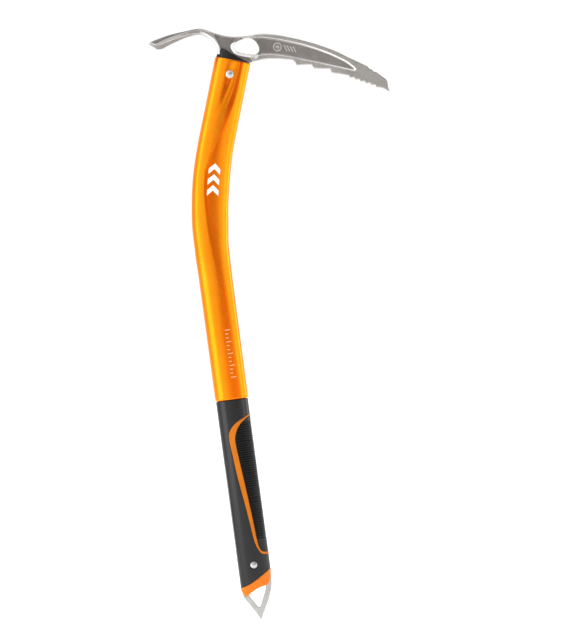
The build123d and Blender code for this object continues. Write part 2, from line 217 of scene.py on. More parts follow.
ADZE_UNDERSIDE, ADZE_FRONT, ADZE_BLEND = 575, 32, 2.6            # it lies above and behind these
ADZE_ROOT = (22, 28)                     # x from where to where its painted shade gives way to the neck's tones
ADZE_EDGE = ([0, 9, 18.5, 26, 40], [-36.3, -35.4, -32.6, -28.6, -20])    # cutting edge: y, x
ADZE_PLAN = [(-36.3, 0.0), (-35.4, 9.0), (-32.6, 18.5), (-28.6, 26.0), (-20.0, 22.6), (-10.0, 17.4),
             (0.0, 12.6), (10.0, 9.0), (20.0, 6.6), (31.0, 5.6)]
TANG = [(57.0, 565.8), (36.4, 572.0), (22.2, 530.5), (42.2, 523.6)]
TANG_HALF = 2.5
ENGRAVING_DEPTH = 0.35
RING_MIDDLE, RING_RADIUS, DOT_RADIUS, RING_LINE_HALF = (93.4, 575.6), 3.9, 1.5, 0.45
BAR_COUNT, BAR_START, BAR_STEP = 4, (101.27, 573.4), (3.0, -0.9)
BAR_LEAN, BAR_HALF = 0.35, (0.55, 3.0)
HEAD_STEP = 0.45


def head_outline():
    """Side view of pick, neck and seat: top, steps, hook, small teeth, large teeth, seat and back."""
    (x0, z0), (x1, z1), count, depth = SMALL_TEETH
    small = []
    for i in range(count):
        t = i / (count - 1)
        x, z = x0 + t * (x1 - x0), z0 + t * (z1 - z0)
        small += [(x, z - depth), (x - 0.5, z + 0.9)]
    return np.vstack([smooth_line(TOP_CURVE), TOP_STEPS, HOOK, small, LARGE_TEETH, smooth_line(LOWER_CURVE),
                      SEAT_LINE, smooth_line(BACK_CURVE)])


def engraving(x, z):
    """Depth of the generic marks cut into the pick's web: a ring with a dot, and a row of slanted bars."""
    reach = np.hypot(x - RING_MIDDLE[0], z - RING_MIDDLE[1])
    mark = np.minimum(np.abs(reach - RING_RADIUS) - RING_LINE_HALF, reach - DOT_RADIUS)
    for i in range(BAR_COUNT):
        dx = x - BAR_START[0] - BAR_STEP[0] * i
        dz = z - BAR_START[1] - BAR_STEP[1] * i
        bar = np.maximum(np.abs(dx + BAR_LEAN * dz) - BAR_HALF[0], np.abs(dz) - BAR_HALF[1])
        mark = np.minimum(mark, bar)
    return ENGRAVING_DEPTH * (1 - ramp(mark, -0.25, 0.35))


class HeadShape:
    """Distance field of the forging, built up from its side view and its thickness."""

    def __init__(self):
        self.outline = head_outline()
        self.top = smooth_line(TOP_CURVE)
        self.back = smooth_line(BACK_CURVE)
        self.eye = smooth_line(EYE_CURVE, True)
        self.pocket = np.vstack([smooth_line(edge) for edge in PICK_POCKET])
        self.neck = smooth_line(NECK_POCKET, True, 4)
        plan = smooth_line(ADZE_PLAN)
        self.plan = np.vstack([plan, (plan * (1, -1))[::-1]])

    def recess(self, x, z):
        """0 on the flanges, 1 on the floor of the pockets."""
        pick = 1 - ramp(signed_distance(x, z, self.pocket), *POCKET_EDGE)
        neck = 1 - ramp(signed_distance(x, z, self.neck), *POCKET_EDGE)
        return np.maximum(pick, neck)

    def middle(self, x):
        """Height of the pick pocket's middle."""
        upper, lower = np.array(PICK_POCKET[0]), np.array(PICK_POCKET[1])[::-1]
        return (np.interp(x, *upper.T) + np.interp(x, *lower.T)) / 2

    def mouth(self, x, z):
        """How wide the eye's bevel is around it: wide at the back and below, slight elsewhere."""
        dx, dz = x - EYE_MIDDLE[0], z - EYE_MIDDLE[1]
        return 0.12 + 0.88 * ramp((-0.75 * dx - 1.0 * dz) / (np.hypot(dx, dz) + 0.01), 0.0, 0.6)

    def half_thickness(self, x, z):
        """Half thickness of pick and neck, and the distance to the clip eye."""
        flange = np.interp(x, *FLANGE_AT)
        web = np.interp(x, *WEB_AT)
        eye = signed_distance(x, z, self.eye)
        half = flange - (flange - web) * self.recess(x, z) - engraving(x, z)
        bevel = web - EYE_BEVEL_DEPTH * self.mouth(x, z) + EYE_BEVEL_SLOPE * np.maximum(eye, 0)
        return np.minimum(half, np.maximum(bevel, EYE_RIM_HALF)), eye

    def body(self, x, y, z):
        """Pick, neck and tang: the side view given its thickness, with edges rounded most along the top."""
        flat_x, flat_z = np.broadcast_arrays(x[:, 0, :], z[:, 0, :])
        half, eye = self.half_thickness(flat_x, flat_z)
        side = np.maximum(signed_distance(flat_x, flat_z, self.outline), -eye)
        crest = 1 - ramp(line_distance(flat_x, flat_z, self.top), 4.0, 8.0)
        heel = 1 - ramp(line_distance(flat_x, flat_z, self.back), 2.5, 5.0)
        radius = 0.55 + crest * np.interp(flat_x, [12, 30, 78, 110, 170], [1.0, 2.6, 2.0, 0.6, 0.1])
        radius = np.maximum(radius, 2.0 * heel)
        tang = signed_distance(flat_x, flat_z, TANG)
        half, side, radius, tang = (a[:, None, :] for a in (half, side, radius, tang))
        return np.minimum(both(np.abs(y) - half, side, radius), both(np.abs(y) - TANG_HALF, tang, 0.4))

    def blade_middle(self, x, y):
        """Height of the adze blade's middle surface, its droop and its thickness."""
        top = np.interp(x, *smooth_table(ADZE_X, ADZE_TOP))
        droop = np.interp(x, *smooth_table(ADZE_X, ADZE_DROOP))
        thick = np.interp(x, ADZE_X, ADZE_THICKNESS)
        edge = np.interp(np.abs(y), *ADZE_EDGE)
        thick = np.minimum(thick, 0.9 + 0.26 * np.maximum(x - edge, 0))
        return top - droop * y * y - thick / 2, droop, thick

    def adze(self, x, y, z):
        """The blade: drooping to both sides, thin at its cutting edge."""
        middle, droop, thick = self.blade_middle(x, y)
        lean = 1 / np.sqrt(1 + (2 * droop * y) ** 2 + 0.02)
        blade = np.abs(z - middle) * lean - thick / 2
        flat_x, flat_y = np.broadcast_arrays(x[:, :, 0], y[:, :, 0])
        plan = signed_distance(flat_x, flat_y, self.plan)[:, :, None]
        return both(blade, plan, 0.45)

    def field(self, x, y, z):
        body = self.body(x, y, z)
        if z.min() < ADZE_UNDERSIDE or x.min() > ADZE_FRONT:
            return body
        return either(body, self.adze(x, y, z), ADZE_BLEND)


def mesh_object(name, places, faces, replaced=()):
    """Mesh from millimetres, smooth shaded, riding on the one body."""
    mesh = bpy.data.meshes.new(name)
    mesh.from_pydata((np.asarray(places, float) * MM).tolist(), [], [list(map(int, f)) for f in faces])
    mesh.shade_smooth()
    piece = bpy.data.objects.new(name, mesh)
    bpy.context.scene.collection.objects.link(piece)
    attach(piece, "root")
    if replaced:
        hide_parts(*replaced)
    return piece


def set_attribute(piece, name, values):
    """Stores one number for each vertex, which the material reads by its name."""
    layer = piece.data.attributes.new(name, "FLOAT", "POINT")
    layer.data.foreach_set("value", np.asarray(values, np.float32))


def blade_tones(shape, x, y, z):
    """Painted shade on the adze: a dark upper face, and the pockets' darker tone painted on its underside as
    shade.
    """
    blade = 1 - ramp(x, *ADZE_ROOT)
    inside = -signed_distance(x, y, shape.plan)
    upper = ramp(z - shape.blade_middle(x, y)[0], 0.0, 0.7)
    shaded = blade * ramp(z, *ADZE_SHADE_FROM) * ramp(inside, 0.5, 1.2) * upper
    return shaded, blade * ramp(inside, 0.8, 2.0) * (1 - upper)


def paint_highlights(shape, x, z):
    """Where the forging gets painted highlights: the eye's bevel, the pick pocket's rim and the heel."""
    eye = signed_distance(x, z, shape.eye)
    reach = EYE_BEVEL_REACH * shape.mouth(x, z)
    mouth = ramp(eye, 0.1, 0.5) * (1 - ramp(eye, reach - 0.4, reach + 0.2)) * (1 - ramp(x, 65, 69))
    above = z > shape.middle(x)
    rim = np.exp(-((signed_distance(x, z, shape.pocket) - 0.1) / np.where(above, 0.58, 0.85)) ** 2)
    rim *= np.where(above, ramp(eye, 3.0, 6.0) * np.interp(x, [78, 105, 135], [0.15, 0.4, 0.95]),
                    ramp(eye, 1.5, 4.5))
    heel = np.exp(-((line_distance(x, z, shape.back) - 1.5) / 0.9) ** 2) * (x > 18)
    return np.maximum(np.maximum(rim, mouth), 0.8 * heel)


def build_head():
    """The forging as one mesh, sampled in blocks that follow it, with its tones, painted shade and painted
    highlights as attributes.
    """
    shape = HeadShape()
    ranges = [((-38, 34), (-28, 28), (578, 607)), ((34, 90), (-9, 9), (578, 607)),
              ((14, 90), (-9, 9), (521, 578)), ((90, 150), (-6, 6), (530, 595)),
              ((150, 204), (-5, 5), (512, 570))]
    blocks = [lattice_block(HEAD_STEP, *row) for row in ranges]
    places, quads = surface_net(shape.field, blocks, HEAD_STEP)
    head = mesh_object("forged_head", places, quads, ["head"])
    x, y, z = places.T
    # painted shade on the adze: its upper face is stored as shaded, its underside joins the pockets' darker
    # tone in recess
    shaded, underside = blade_tones(shape, x, y, z)
    floor = shape.recess(x, z) * np.interp(x, [66, 90, 120], [1.0, 0.95, 0.75]) * ramp(x, *ADZE_ROOT)
    set_attribute(head, "shaded", shaded)
    # the pockets' darker tone, with the painted shade of the adze's underside added in
    set_attribute(head, "recess", np.maximum(floor, underside))
    set_attribute(head, "engraved", engraving(x, z) / ENGRAVING_DEPTH)
    # painted highlights along the eye's bevel, the pick pocket's rim and the heel
    set_attribute(head, "painted_highlight", paint_highlights(shape, x, z))
    return head


# ---------------- shaft
# Distances s run along the shaft's centre line from the spike's tip, u across it in the side view.
BEND_ANGLE, BEND_APEX, BEND_RADIUS = math.radians(19.0), 432.5, 385.0
BEND_START = BEND_APEX - BEND_RADIUS * math.tan(BEND_ANGLE / 2)
SHAFT_TOP, SHAFT_FOOT, NECK_END, TUBE_START = 575.0, 48.0, 226.2, 226.9
NECK_HALF, BORE_INSET = (14.6, 8.9), 3.4     # the bore clears the deepest fold from inside
TUBE_S = [226.9, 300.0, 350.0, 378.0, 410.0, 450.0, 490.0, 530.0, 575.0]
TUBE_HALF_WIDTH = [16.9, 16.95, 17.1, 17.5, 18.65, 18.95, 18.4, 18.25, 18.3]
TUBE_HALF_DEPTH = [11.0, 11.0, 11.0, 10.9, 10.6, 10.5, 10.7, 10.9, 11.0]

# Pressed creases on both flanks. At each distance s along the shaft the flank's profile goes through six
# places across it, at the depths given for the four in the middle: the rivet's recess (start, valley),
# the ridge beside it, the shoulder and the foot of the long step, and the place where the oval is back.
CREASES = [
    (300, (-9.0, -8.0, -6.0, 3.0, 6.2, 15.0), (0.0, 0.0, 0.0, 0.0)),
    (340, (-9.0, -8.0, -6.0, 2.6, 5.6, 15.0), (0.0, 0.0, -0.04, 0.06)),
    (370, (-11.0, -10.0, -8.0, 1.4, 4.0, 15.2), (0.0, 0.0, -0.10, 0.12)),
    (400, (-13.0, -12.0, -10.0, -2.4, 0.4, 15.4), (0.0, 0.0, -0.18, 0.16)),
    (420, (-13.0, -12.0, -11.0, -4.6, -1.8, 15.6), (0.0, 0.0, -0.22, 0.20)),
    (440, (-13.5, -12.5, -11.5, -6.8, -4.0, 15.8), (0.0, 0.0, -0.25, 0.24)),
    (460, (-13.5, -12.5, -11.5, -7.4, -4.8, 15.8), (0.0, 0.0, -0.25, 0.26)),
    (480, (-13.5, -12.5, -11.0, -3.2, -0.6, 15.6), (0.0, 0.0, -0.18, 0.18)),
    (500, (-12.0, -11.0, -3.0, 2.0, 4.2, 15.2), (0.0, 0.0, -0.18, 0.02)),
    (515, (-9.0, -7.0, -1.0, 4.4, 6.8, 14.0), (0.0, 0.0, -0.24, -0.04)),
    (530, (-6.0, -2.6, 1.4, 4.6, 8.8, 10.4), (0.24, -0.10, 0.00, 0.00)),
    (540, (-5.4, -0.8, 3.8, 7.2, 10.2, 11.2), (0.85, -0.04, 0.08, 0.06)),
    (550, (-5.0, 1.2, 5.8, 8.2, 10.6, 11.6), (1.30, 0.04, 0.14, 0.10)),
    (566, (-4.8, 3.4, 7.0, 8.8, 10.6, 11.6), (1.20, 0.20, 0.26, 0.16)),
    (575, (-4.8, 3.4, 7.0, 8.8, 10.6, 11.6), (0.30, 0.08, 0.20, 0.12))]

# Painted shade where the pressed flank turns away from the light: at each s the places where the shade
# starts, is full, begins to fade and is gone, and how strong it is. One band follows the long step, one the
# rivet's recess.
STEP_SHADE = [
    (240, (-6.0, 4.5, 8.5, 11.5, 0.85)), (300, (-4.0, 4.0, 8.0, 11.5, 0.85)),
    (340, (0.0, 4.0, 7.0, 10.5, 0.85)), (370, (0.2, 2.2, 4.6, 9.0, 0.85)),
    (400, (-3.0, -1.2, 0.6, 10.5, 0.95)), (420, (-5.0, -3.2, -1.4, 11.5, 1.0)),
    (440, (-7.3, -5.6, -3.0, 12.5, 1.0)), (460, (-7.4, -6.2, -4.8, 11.0, 0.95)),
    (470, (-4.9, -3.9, -2.8, 9.0, 0.9)), (485, (-1.4, -0.5, 0.5, 5.5, 1.15)),
    (500, (1.4, 2.6, 3.8, 5.4, 1.25)), (515, (2.4, 5.2, 6.8, 8.2, 1.6)),
    (530, (2.4, 6.4, 9.4, 10.6, 1.9)), (545, (5.4, 7.4, 10.6, 11.5, 1.8)),
    (565, (6.8, 9.0, 10.6, 11.4, 1.8)), (575, (6.4, 8.6, 10.6, 11.4, 1.8))]
RECESS_SHADE = [
    (524, (-3.4, -2.8, -2.4, -1.6, 0.0)), (531, (-4.6, -3.2, -2.2, -0.8, 0.7)),
    (545, (-4.6, -2.8, 0.2, 2.0, 1.5)), (555, (-4.6, -2.8, 1.6, 3.6, 1.4)),
    (561, (-4.4, -2.6, 2.0, 4.2, 0.0))]
RING_POINTS, RING_COUNT, BORE_RINGS = 180, 290, 24
CHEVRON_START, CHEVRON_PITCH, CHEVRON_U, CHEVRON_RISE = 435.0, 11.0, (-3.2, 2.6, 8.4), 5.5
TICK_START, TICK_PITCH, TICK_COUNT, TICK_WIDTH = 249.0, 4.0, 13, 0.6
TICK_FROM, LONG_TICK_TO, SHORT_TICK_TO = 2.6, 7.6, 5.4


def path_frame(s):
    """Centre line point (x, z), forward direction and upward direction at a distance s."""
    if s <= BEND_START:
        return np.array((0.0, s)), np.array((1.0, 0.0)), np.array((0.0, 1.0))
    turned = min((s - BEND_START) / BEND_RADIUS, BEND_ANGLE)
    beyond = s - BEND_START - BEND_RADIUS * turned
    up = np.array((math.sin(turned), math.cos(turned)))
    forward = np.array((math.cos(turned), -math.sin(turned)))
    centre = np.array((BEND_RADIUS * (1 - math.cos(turned)), BEND_START + BEND_RADIUS * math.sin(turned)))
    return centre + beyond * up, forward, up


def eased(s, xs, values):
    """Interpolation that eases in and out of every given station."""
    i = min(max(int(np.searchsorted(xs, s)) - 1, 0), len(xs) - 2)
    t = float(ramp(s, xs[i], xs[i + 1]))
    return values[i] + t * (values[i + 1] - values[i])


def tube_half(s):
    """Half width and half depth of the tube; under the grip it is drawn in to the neck."""
    if s <= NECK_END:
        return NECK_HALF
    if s < TUBE_START:
        t = (s - NECK_END) / (TUBE_START - NECK_END)
        full = TUBE_HALF_WIDTH[0], TUBE_HALF_DEPTH[0]
        return tuple(a + t * (b - a) for a, b in zip(NECK_HALF, full))
    return eased(s, TUBE_S, TUBE_HALF_WIDTH), eased(s, TUBE_S, TUBE_HALF_DEPTH)


def crease_depth(s, u):
    """How deep the flank is pressed in at the place u across the shaft."""
    stations = [row[0] for row in CREASES]
    if s < stations[0]:
        return np.zeros_like(u)
    places = [np.interp(s, stations, column) for column in zip(*(row[1] for row in CREASES))]
    depths = [np.interp(s, stations, column) for column in zip(*(row[2] for row in CREASES))]
    fine = np.arange(-20, 20.01, 0.2)
    profile = np.interp(fine, places, [0.0] + depths + [0.0])
    rounding = np.hanning(9)
    profile = np.convolve(profile, rounding / rounding.sum(), "same")
    return np.interp(u, fine, profile)


def shade_amount(s, u):
    """How far the flank at (s, u) lies in a band of painted shade: 0 outside, 1 in it, 2 in its depth."""
    total = np.zeros_like(u)
    for table in (STEP_SHADE, RECESS_SHADE):
        stations = [row[0] for row in table]
        columns = zip(*(row[1] for row in table))
        start, full, fade, gone, amount = (np.interp(s, stations, column) for column in columns)
        total = np.maximum(total, amount * ramp(u, start, full) * (1 - ramp(u, fade, gone)))
    return total


def tube_ring(s, angles, inset=0.0):
    """One ring of the tube at s: its pressed outer surface, or a plain oval set in from it."""
    centre, forward, _ = path_frame(s)
    width, depth = tube_half(s)
    u = (width - inset) * np.cos(angles)
    y = (depth - inset) * np.sin(angles)
    if inset == 0:
        y = y - np.sign(y) * np.minimum(crease_depth(s, u), np.abs(y) * 0.5)
    return np.stack([centre[0] + u * forward[0], y, centre[1] + u * forward[1]], 1)


def grid_faces(rows, columns, closed_columns=True):
    """Quads between rows of points; closed rows join their last point to their first."""
    faces = []
    for i in range(rows - 1):
        for j in range(columns if closed_columns else columns - 1):
            k = (j + 1) % columns
            faces.append((i * columns + j, i * columns + k, (i + 1) * columns + k, (i + 1) * columns + j))
    return faces


def build_shaft():
    """The tube as rings: up its outside, over the top edge and down its bore."""
    angles = np.linspace(0, 2 * math.pi, RING_POINTS, endpoint=False)
    outer_s = [SHAFT_FOOT, NECK_END, TUBE_START, *np.linspace(TUBE_START + 1.2, SHAFT_TOP - 0.4, RING_COUNT)]
    bore_s = [SHAFT_TOP, *np.linspace(SHAFT_TOP - 10, TUBE_START + 4, BORE_RINGS), NECK_END, SHAFT_FOOT]
    rows = [tube_ring(s, angles) for s in outer_s]
    rows.append(tube_ring(SHAFT_TOP, angles, 0.4))
    rows += [tube_ring(s, angles, BORE_INSET) for s in bore_s]
    faces = grid_faces(len(rows), RING_POINTS)
    last = (len(rows) - 1) * RING_POINTS
    for j in range(RING_POINTS):
        k = (j + 1) % RING_POINTS
        faces.append((last + j, last + k, k, j))
    tube = mesh_object("shaft_tube", np.vstack(rows), faces, ["shaft"])
    # painted shade along the folds, read by the shaft's material
    shade = np.zeros((len(rows), RING_POINTS))
    for i, s in enumerate(outer_s):
        shade[i] = shade_amount(s, tube_half(s)[0] * np.cos(angles))
    set_attribute(tube, "shade", shade.ravel())
    return tube


def flank_patch(outline, side, lift=0.05, cells=(8, 14)):
    """Thin printed patch on a flank: a quadrilateral in (u, s), laid onto the pressed surface."""
    a, b, c, d = (np.array(p, float) for p in outline)
    places = []
    for j in range(cells[1] + 1):
        for i in range(cells[0] + 1):
            p, q = i / cells[0], j / cells[1]
            u, s = (a * (1 - p) + b * p) * (1 - q) + (d * (1 - p) + c * p) * q
            centre, forward, _ = path_frame(s)
            width, depth = tube_half(s)
            pressed = float(crease_depth(s, np.array([u]))[0])
            y = depth * math.sqrt(max(1 - (u / width) ** 2, 0)) - pressed + lift
            places.append((centre[0] + u * forward[0], side * y, centre[1] + u * forward[1]))
    faces = grid_faces(cells[1] + 1, cells[0] + 1, False)
    return places, faces if side < 0 else [f[::-1] for f in faces]


def build_marks(name, outlines):
    """Printed marks on both flanks as one thin piece."""
    places, faces = [], []
    for side in (-1, 1):
        for outline in outlines:
            more, quads = flank_patch(outline, side)
            faces += [[v + len(places) for v in f] for f in quads]
            places += more
    return mesh_object(name, places, faces)


def chevrons():
    """Three chevrons that point up the shaft, each of two leaning bars."""
    left, tip, right = CHEVRON_U
    out = []
    for i in range(3):
        s = CHEVRON_START + CHEVRON_PITCH * i
        top = s + 2 * CHEVRON_RISE
        out.append([(left, s), (tip, s + CHEVRON_RISE), (tip, top), (left, s + CHEVRON_RISE)])
        out.append([(tip, s + CHEVRON_RISE), (right, s), (right, s + CHEVRON_RISE), (tip, top)])
    return out


def ruler_ticks():
    """A plain row of length marks, every third one longer."""
    out = []
    for i in range(TICK_COUNT):
        s = TICK_START + TICK_PITCH * i
        reach = SHORT_TICK_TO if i % 3 else LONG_TICK_TO
        out.append([(TICK_FROM, s), (reach, s), (reach, s + TICK_WIDTH), (TICK_FROM, s + TICK_WIDTH)])
    return out


# ---------------- collar, grip, cap, spike and rivets
COLLAR_TOP = [(31.2, 575.4), (32.4, 577.6), (35.4, 578.8), (37.8, 581.8), (43.0, 578.0), (47.0, 574.8),
              (52.0, 571.1), (58.6, 566.2)]
COLLAR_HALF, PLUG_HALF, PLUG_MIDDLE, PLUG_REACH = (18.0, 10.7), (16.0, 8.7), -23.0, 25.0
COLLAR_STEP, SPIKE_STEP, CAP_STEP, GRIP_STEP = 0.45, 0.36, 0.42, 0.36
GRIP_HALF, CORE_HALF, GRIP_TOP = (16.5, 11.4), (15.6, 9.9), 226.0
LINE_OUTSIDE = [(20.0, 212.2), (10.0, 207.0), (0.0, 201.7), (-6.6, 194.0), (-7.9, 185.0), (-6.7, 172.0),
                (-4.7, 150.0), (-1.8, 128.0), (1.2, 104.0), (4.1, 80.0), (8.4, 69.2), (13.0, 66.7),
                (20.0, 66.9)]
LINE_INSIDE = [(20.0, 211.0), (10.0, 204.8), (3.2, 198.4), (-1.1, 189.5), (-1.8, 181.0), (0.0, 160.0),
               (2.3, 136.0), (4.9, 106.0), (6.8, 80.0), (9.2, 71.3), (13.6, 68.9), (20.0, 68.7)]
# Rows of ribs: height of the lowest and the highest groove, pitch, groove depth, how far the ribs stand out.
FRONT_RIBS = (84.0, 202.0, 2.32, 0.7, 0.35)
BACK_RIBS = (75.0, 158.0, 2.5, 0.85, 0.55)
LAYER_GAP = 0.45                         # the black layer reaches this far into the core's oval
GRIP_FOOT = [(-20.0, 34.6), (-12.0, 36.2), (-4.0, 39.8), (5.0, 44.6), (12.0, 48.8), (20.0, 54.0)]
CAP_FOOT = [(-20.0, 35.0), (-15.6, 30.0), (-13.0, 26.6), (-10.2, 26.4), (-6.0, 29.4), (0.0, 32.6),
            (5.0, 34.4), (9.8, 35.3), (12.4, 37.0), (14.2, 39.8), (15.6, 43.6), (17.0, 48.0), (20.0, 56.0)]
CAP_DEPTH = ([20, 26, 30, 35, 41, 50, 90], [4.4, 5.6, 8.0, 10.2, 11.3, 11.6, 11.6])
CAP_PLUG_HALF, CAP_PLUG_MIDDLE, CAP_PLUG_REACH = (12.4, 6.8), 57.0, 20.9
SPIKE_BACK = [(-15.4, 34.0), (-15.2, 27.0), (-13.6, 23.2), (-9.8, 17.2), (-5.8, 10.6), (-2.8, 5.2)]
SPIKE_FRONT = [(2.6, 5.2), (7.0, 13.5), (10.6, 20.6), (13.3, 27.4), (15.0, 33.0), (16.0, 40.0), (16.2, 45.0)]
SPIKE_TANG = [(15.4, 49.0), (11.4, 47.6), (11.4, 78.0), (-11.4, 78.0), (-11.4, 40.0), (-14.0, 34.0)]
SPIKE_EYE = [(-9.6, 27.0), (-5.0, 20.0), (-2.3, 15.3), (-0.5, 13.6), (1.2, 15.0), (4.2, 21.4),
             (7.4, 28.4), (9.4, 34.0)]
HEAD_RIVET_DOWN, SPIKE_RIVET_Z = 15.1, 57.3
HEAD_RIVET = (10.2, 4.1, 0.2, 1.5)       # seat, radius, height of the rim, height of the dome
SPIKE_RIVET = (8.95, 3.8, 1.5, 1.1)
SHANK_RADIUS, RIM_BEVEL, RIVET_SIDES, DOME_RINGS = 3.0, 0.15, 64, 12
SLEEVE_POCKET, CORE_POCKET = 3.85, 4.9   # radii of the holes round the lower rivet


def oval_distance(u, y, half):
    """Distance to an oval with the given half axes, negative inside it."""
    k = np.sqrt((u / half[0]) ** 2 + (y / half[1]) ** 2) + 1e-9
    return (k - 1) * k / (np.sqrt((u / half[0] ** 2) ** 2 + (y / half[1] ** 2) ** 2) + 1e-9)


def flat_field(x, z, outline):
    """Signed distance to an outline in the side view, over a whole lattice."""
    flat_x, flat_z = np.broadcast_arrays(x[:, 0, :], z[:, 0, :])
    return signed_distance(flat_x, flat_z, outline)[:, None, :]


def top_axes(x, z):
    """Distances across and along the shaft from the middle of its top end."""
    centre, forward, up = path_frame(SHAFT_TOP)
    dx, dz = x - centre[0], z - centre[1]
    return dx * forward[0] + dz * forward[1], dx * up[0] + dz * up[1]


def build_collar():
    """Two cheeks beside the neck, on a plug that goes down into the tube beside the tang."""
    head = HeadShape()
    wedge = np.vstack([COLLAR_TOP, (60.6, 562.0), (29.2, 572.4)])

    def field(x, y, z):
        u, a = top_axes(x, z)
        cheeks = both(oval_distance(u, y, COLLAR_HALF), flat_field(x, z, wedge), 0.7)
        cheeks = np.maximum(cheeks, -a - 0.3)
        plug = np.maximum(oval_distance(u, y, PLUG_HALF), np.abs(a - PLUG_MIDDLE) - PLUG_REACH)
        return np.maximum(np.minimum(cheeks, plug), 0.1 - head.body(x, y, z))

    block = lattice_block(COLLAR_STEP, (12, 66), (-12, 12), (514, 586))
    places, quads = surface_net(field, [block], COLLAR_STEP)
    return mesh_object("collar_plug", places, quads, ["head_collar"])


def spike_field(x, y, z):
    """The flat spike with its eye and tang, thinner towards the tip."""
    eye = np.vstack([smooth_line(SPIKE_EYE), (9.2, 37.0), (-9.2, 37.0)])
    outline = np.vstack([smooth_line(SPIKE_BACK), (0.0, 0.0), smooth_line(SPIKE_FRONT), SPIKE_TANG])
    side = np.maximum(flat_field(x, z, outline), -flat_field(x, z, eye))
    half = 0.55 + 1.45 * ramp(z, -4.0, 13.0)
    return both(np.abs(y) - half, side, 0.5)


def build_spike():
    block = lattice_block(SPIKE_STEP, (-18, 18), (-4, 4), (-2, 80))
    places, quads = surface_net(spike_field, [block], SPIKE_STEP)
    return mesh_object("spike_plate", places, quads, ["spike"])


def below_grip():
    """Outline of everything below the grip's slanted foot."""
    return np.vstack([smooth_line(GRIP_FOOT), (20, 0), (-20, 0)])


def build_cap():
    """The cap below the grip's foot, with a plug inside the tube and a slot for the spike."""
    foot = np.vstack([smooth_line(CAP_FOOT), (20, 60), (-20, 60)])

    def field(x, y, z):
        shell = both(oval_distance(x, y, GRIP_HALF), flat_field(x, z, below_grip()), 0.25)
        taper = np.abs(y) - np.interp(z, *CAP_DEPTH)
        outer = both(both(shell, taper, 1.5), flat_field(x, z, foot), 1.3)
        inner = np.maximum(oval_distance(x, y, CAP_PLUG_HALF), np.abs(z - CAP_PLUG_MIDDLE) - CAP_PLUG_REACH)
        return np.maximum(np.minimum(outer, inner), 0.08 - spike_field(x, y, z))

    block = lattice_block(CAP_STEP, (-18, 18), (-13, 13), (24, 80))
    places, quads = surface_net(field, [block], CAP_STEP)
    return mesh_object("end_cap_moulding", places, quads, ["end_cap"])


def ribbed(z, ribs):
    """Depth of a row of rounded grooves at the height z."""
    low, high, pitch, deep, proud = ribs
    wave = ramp(np.cos(2 * math.pi * (z - low) / pitch), -0.5, 0.9)
    depth = (deep + proud) * wave - proud
    return depth * ramp(z, low - 1.2, low - 0.4) * (1 - ramp(z, high + 0.4, high + 1.2))


def grip_shell(x, y, groove):
    """The black layer, from just inside the core's oval out to its own grooved surface."""
    inner = -oval_distance(x, y, CORE_HALF) - LAYER_GAP
    return np.maximum(oval_distance(x, y, GRIP_HALF) + groove, inner)


def grip_ends(x, z, top, pocket):
    """Negative between the grip's foot and its top, outside the lower rivet's pocket."""
    hole = pocket - np.hypot(x, z - SPIKE_RIVET_Z)
    return np.maximum(np.maximum(-flat_field(x, z, below_grip()), hole), z - top)


def build_grip():
    """Black sleeve, black front pad and the orange first shot whose rib shows as a line."""
    far = [(40.0, LINE_OUTSIDE[-1][1]), (40.0, LINE_OUTSIDE[0][1])]
    outside = np.vstack([smooth_line(LINE_OUTSIDE), far])
    inside = np.vstack([smooth_line(LINE_INSIDE), far])

    def sleeve(x, y, z):
        groove = ribbed(z, BACK_RIBS) * (1 - ramp(x, -14.8, -11.6))
        shell = both(grip_shell(x, y, groove), grip_ends(x, z, GRIP_TOP, SLEEVE_POCKET), 0.35)
        return both(shell, -flat_field(x, z, outside), 0.3)

    def pad(x, y, z):
        groove = ribbed(z, FRONT_RIBS) * ramp(x, -4.0, 1.0)
        return both(grip_shell(x, y, groove), flat_field(x, z, inside), 0.3)

    def core(x, y, z):
        band = np.maximum(flat_field(x, z, outside), -flat_field(x, z, inside))
        line = both(oval_distance(x, y, GRIP_HALF) - 0.2, band, 0.45)
        layer = np.minimum(line, oval_distance(x, y, CORE_HALF) + LAYER_GAP + 0.05)
        layer = np.maximum(layer, -oval_distance(x, y, NECK_HALF) + 0.05)
        return np.maximum(layer, grip_ends(x, z, GRIP_TOP - 0.15, CORE_POCKET))

    blocks = [lattice_block(GRIP_STEP, (-18, 18), (-13, 13), rows) for rows in ((30, 130), (130, 228))]
    pieces = []
    for name, field, slot, node in (("grip_sleeve_moulding", sleeve, "grip_black", "grip_sleeve"),
                                    ("front_pad_moulding", pad, "grip_black", "grip_front_pad"),
                                    ("grip_core_moulding", core, "grip_orange", "grip_core")):
        places, quads = surface_net(field, blocks, GRIP_STEP)
        pieces.append(mesh_object(name, places, quads, [node]))
    return pieces


def rivet_profile(seat, radius, rim, dome):
    """Radius and height of a rivet's head, from its shank over the rim to the middle of the dome."""
    sphere = (radius ** 2 + dome ** 2) / (2 * dome)
    top = seat + rim + dome
    profile = [(SHANK_RADIUS, seat), (radius - RIM_BEVEL, seat), (radius, seat + RIM_BEVEL),
               (radius, seat + rim)]
    reach = math.asin(min(radius / sphere, 1.0))
    for i in range(1, DOME_RINGS + 1):
        angle = reach * (1 - i / DOME_RINGS)
        profile.append((max(sphere * math.sin(angle), 0.02), top - sphere * (1 - math.cos(angle))))
    return profile


def build_rivet(name, node, middle, sizes):
    """Turned rivet along Y with a flattened dome on both ends."""
    x, z = middle
    half = rivet_profile(*sizes)
    full = [(r, -y) for r, y in half[::-1]] + half
    angles = np.linspace(0, 2 * math.pi, RIVET_SIDES, endpoint=False)
    places = [(x + r * math.cos(a), y, z + r * math.sin(a)) for r, y in full for a in angles]
    faces = grid_faces(len(full), RIVET_SIDES)
    faces += [list(range(RIVET_SIDES))[::-1], list(range(len(places) - RIVET_SIDES, len(places)))]
    faces = [f[::-1] for f in faces]
    return mesh_object(name, places, faces, [node])


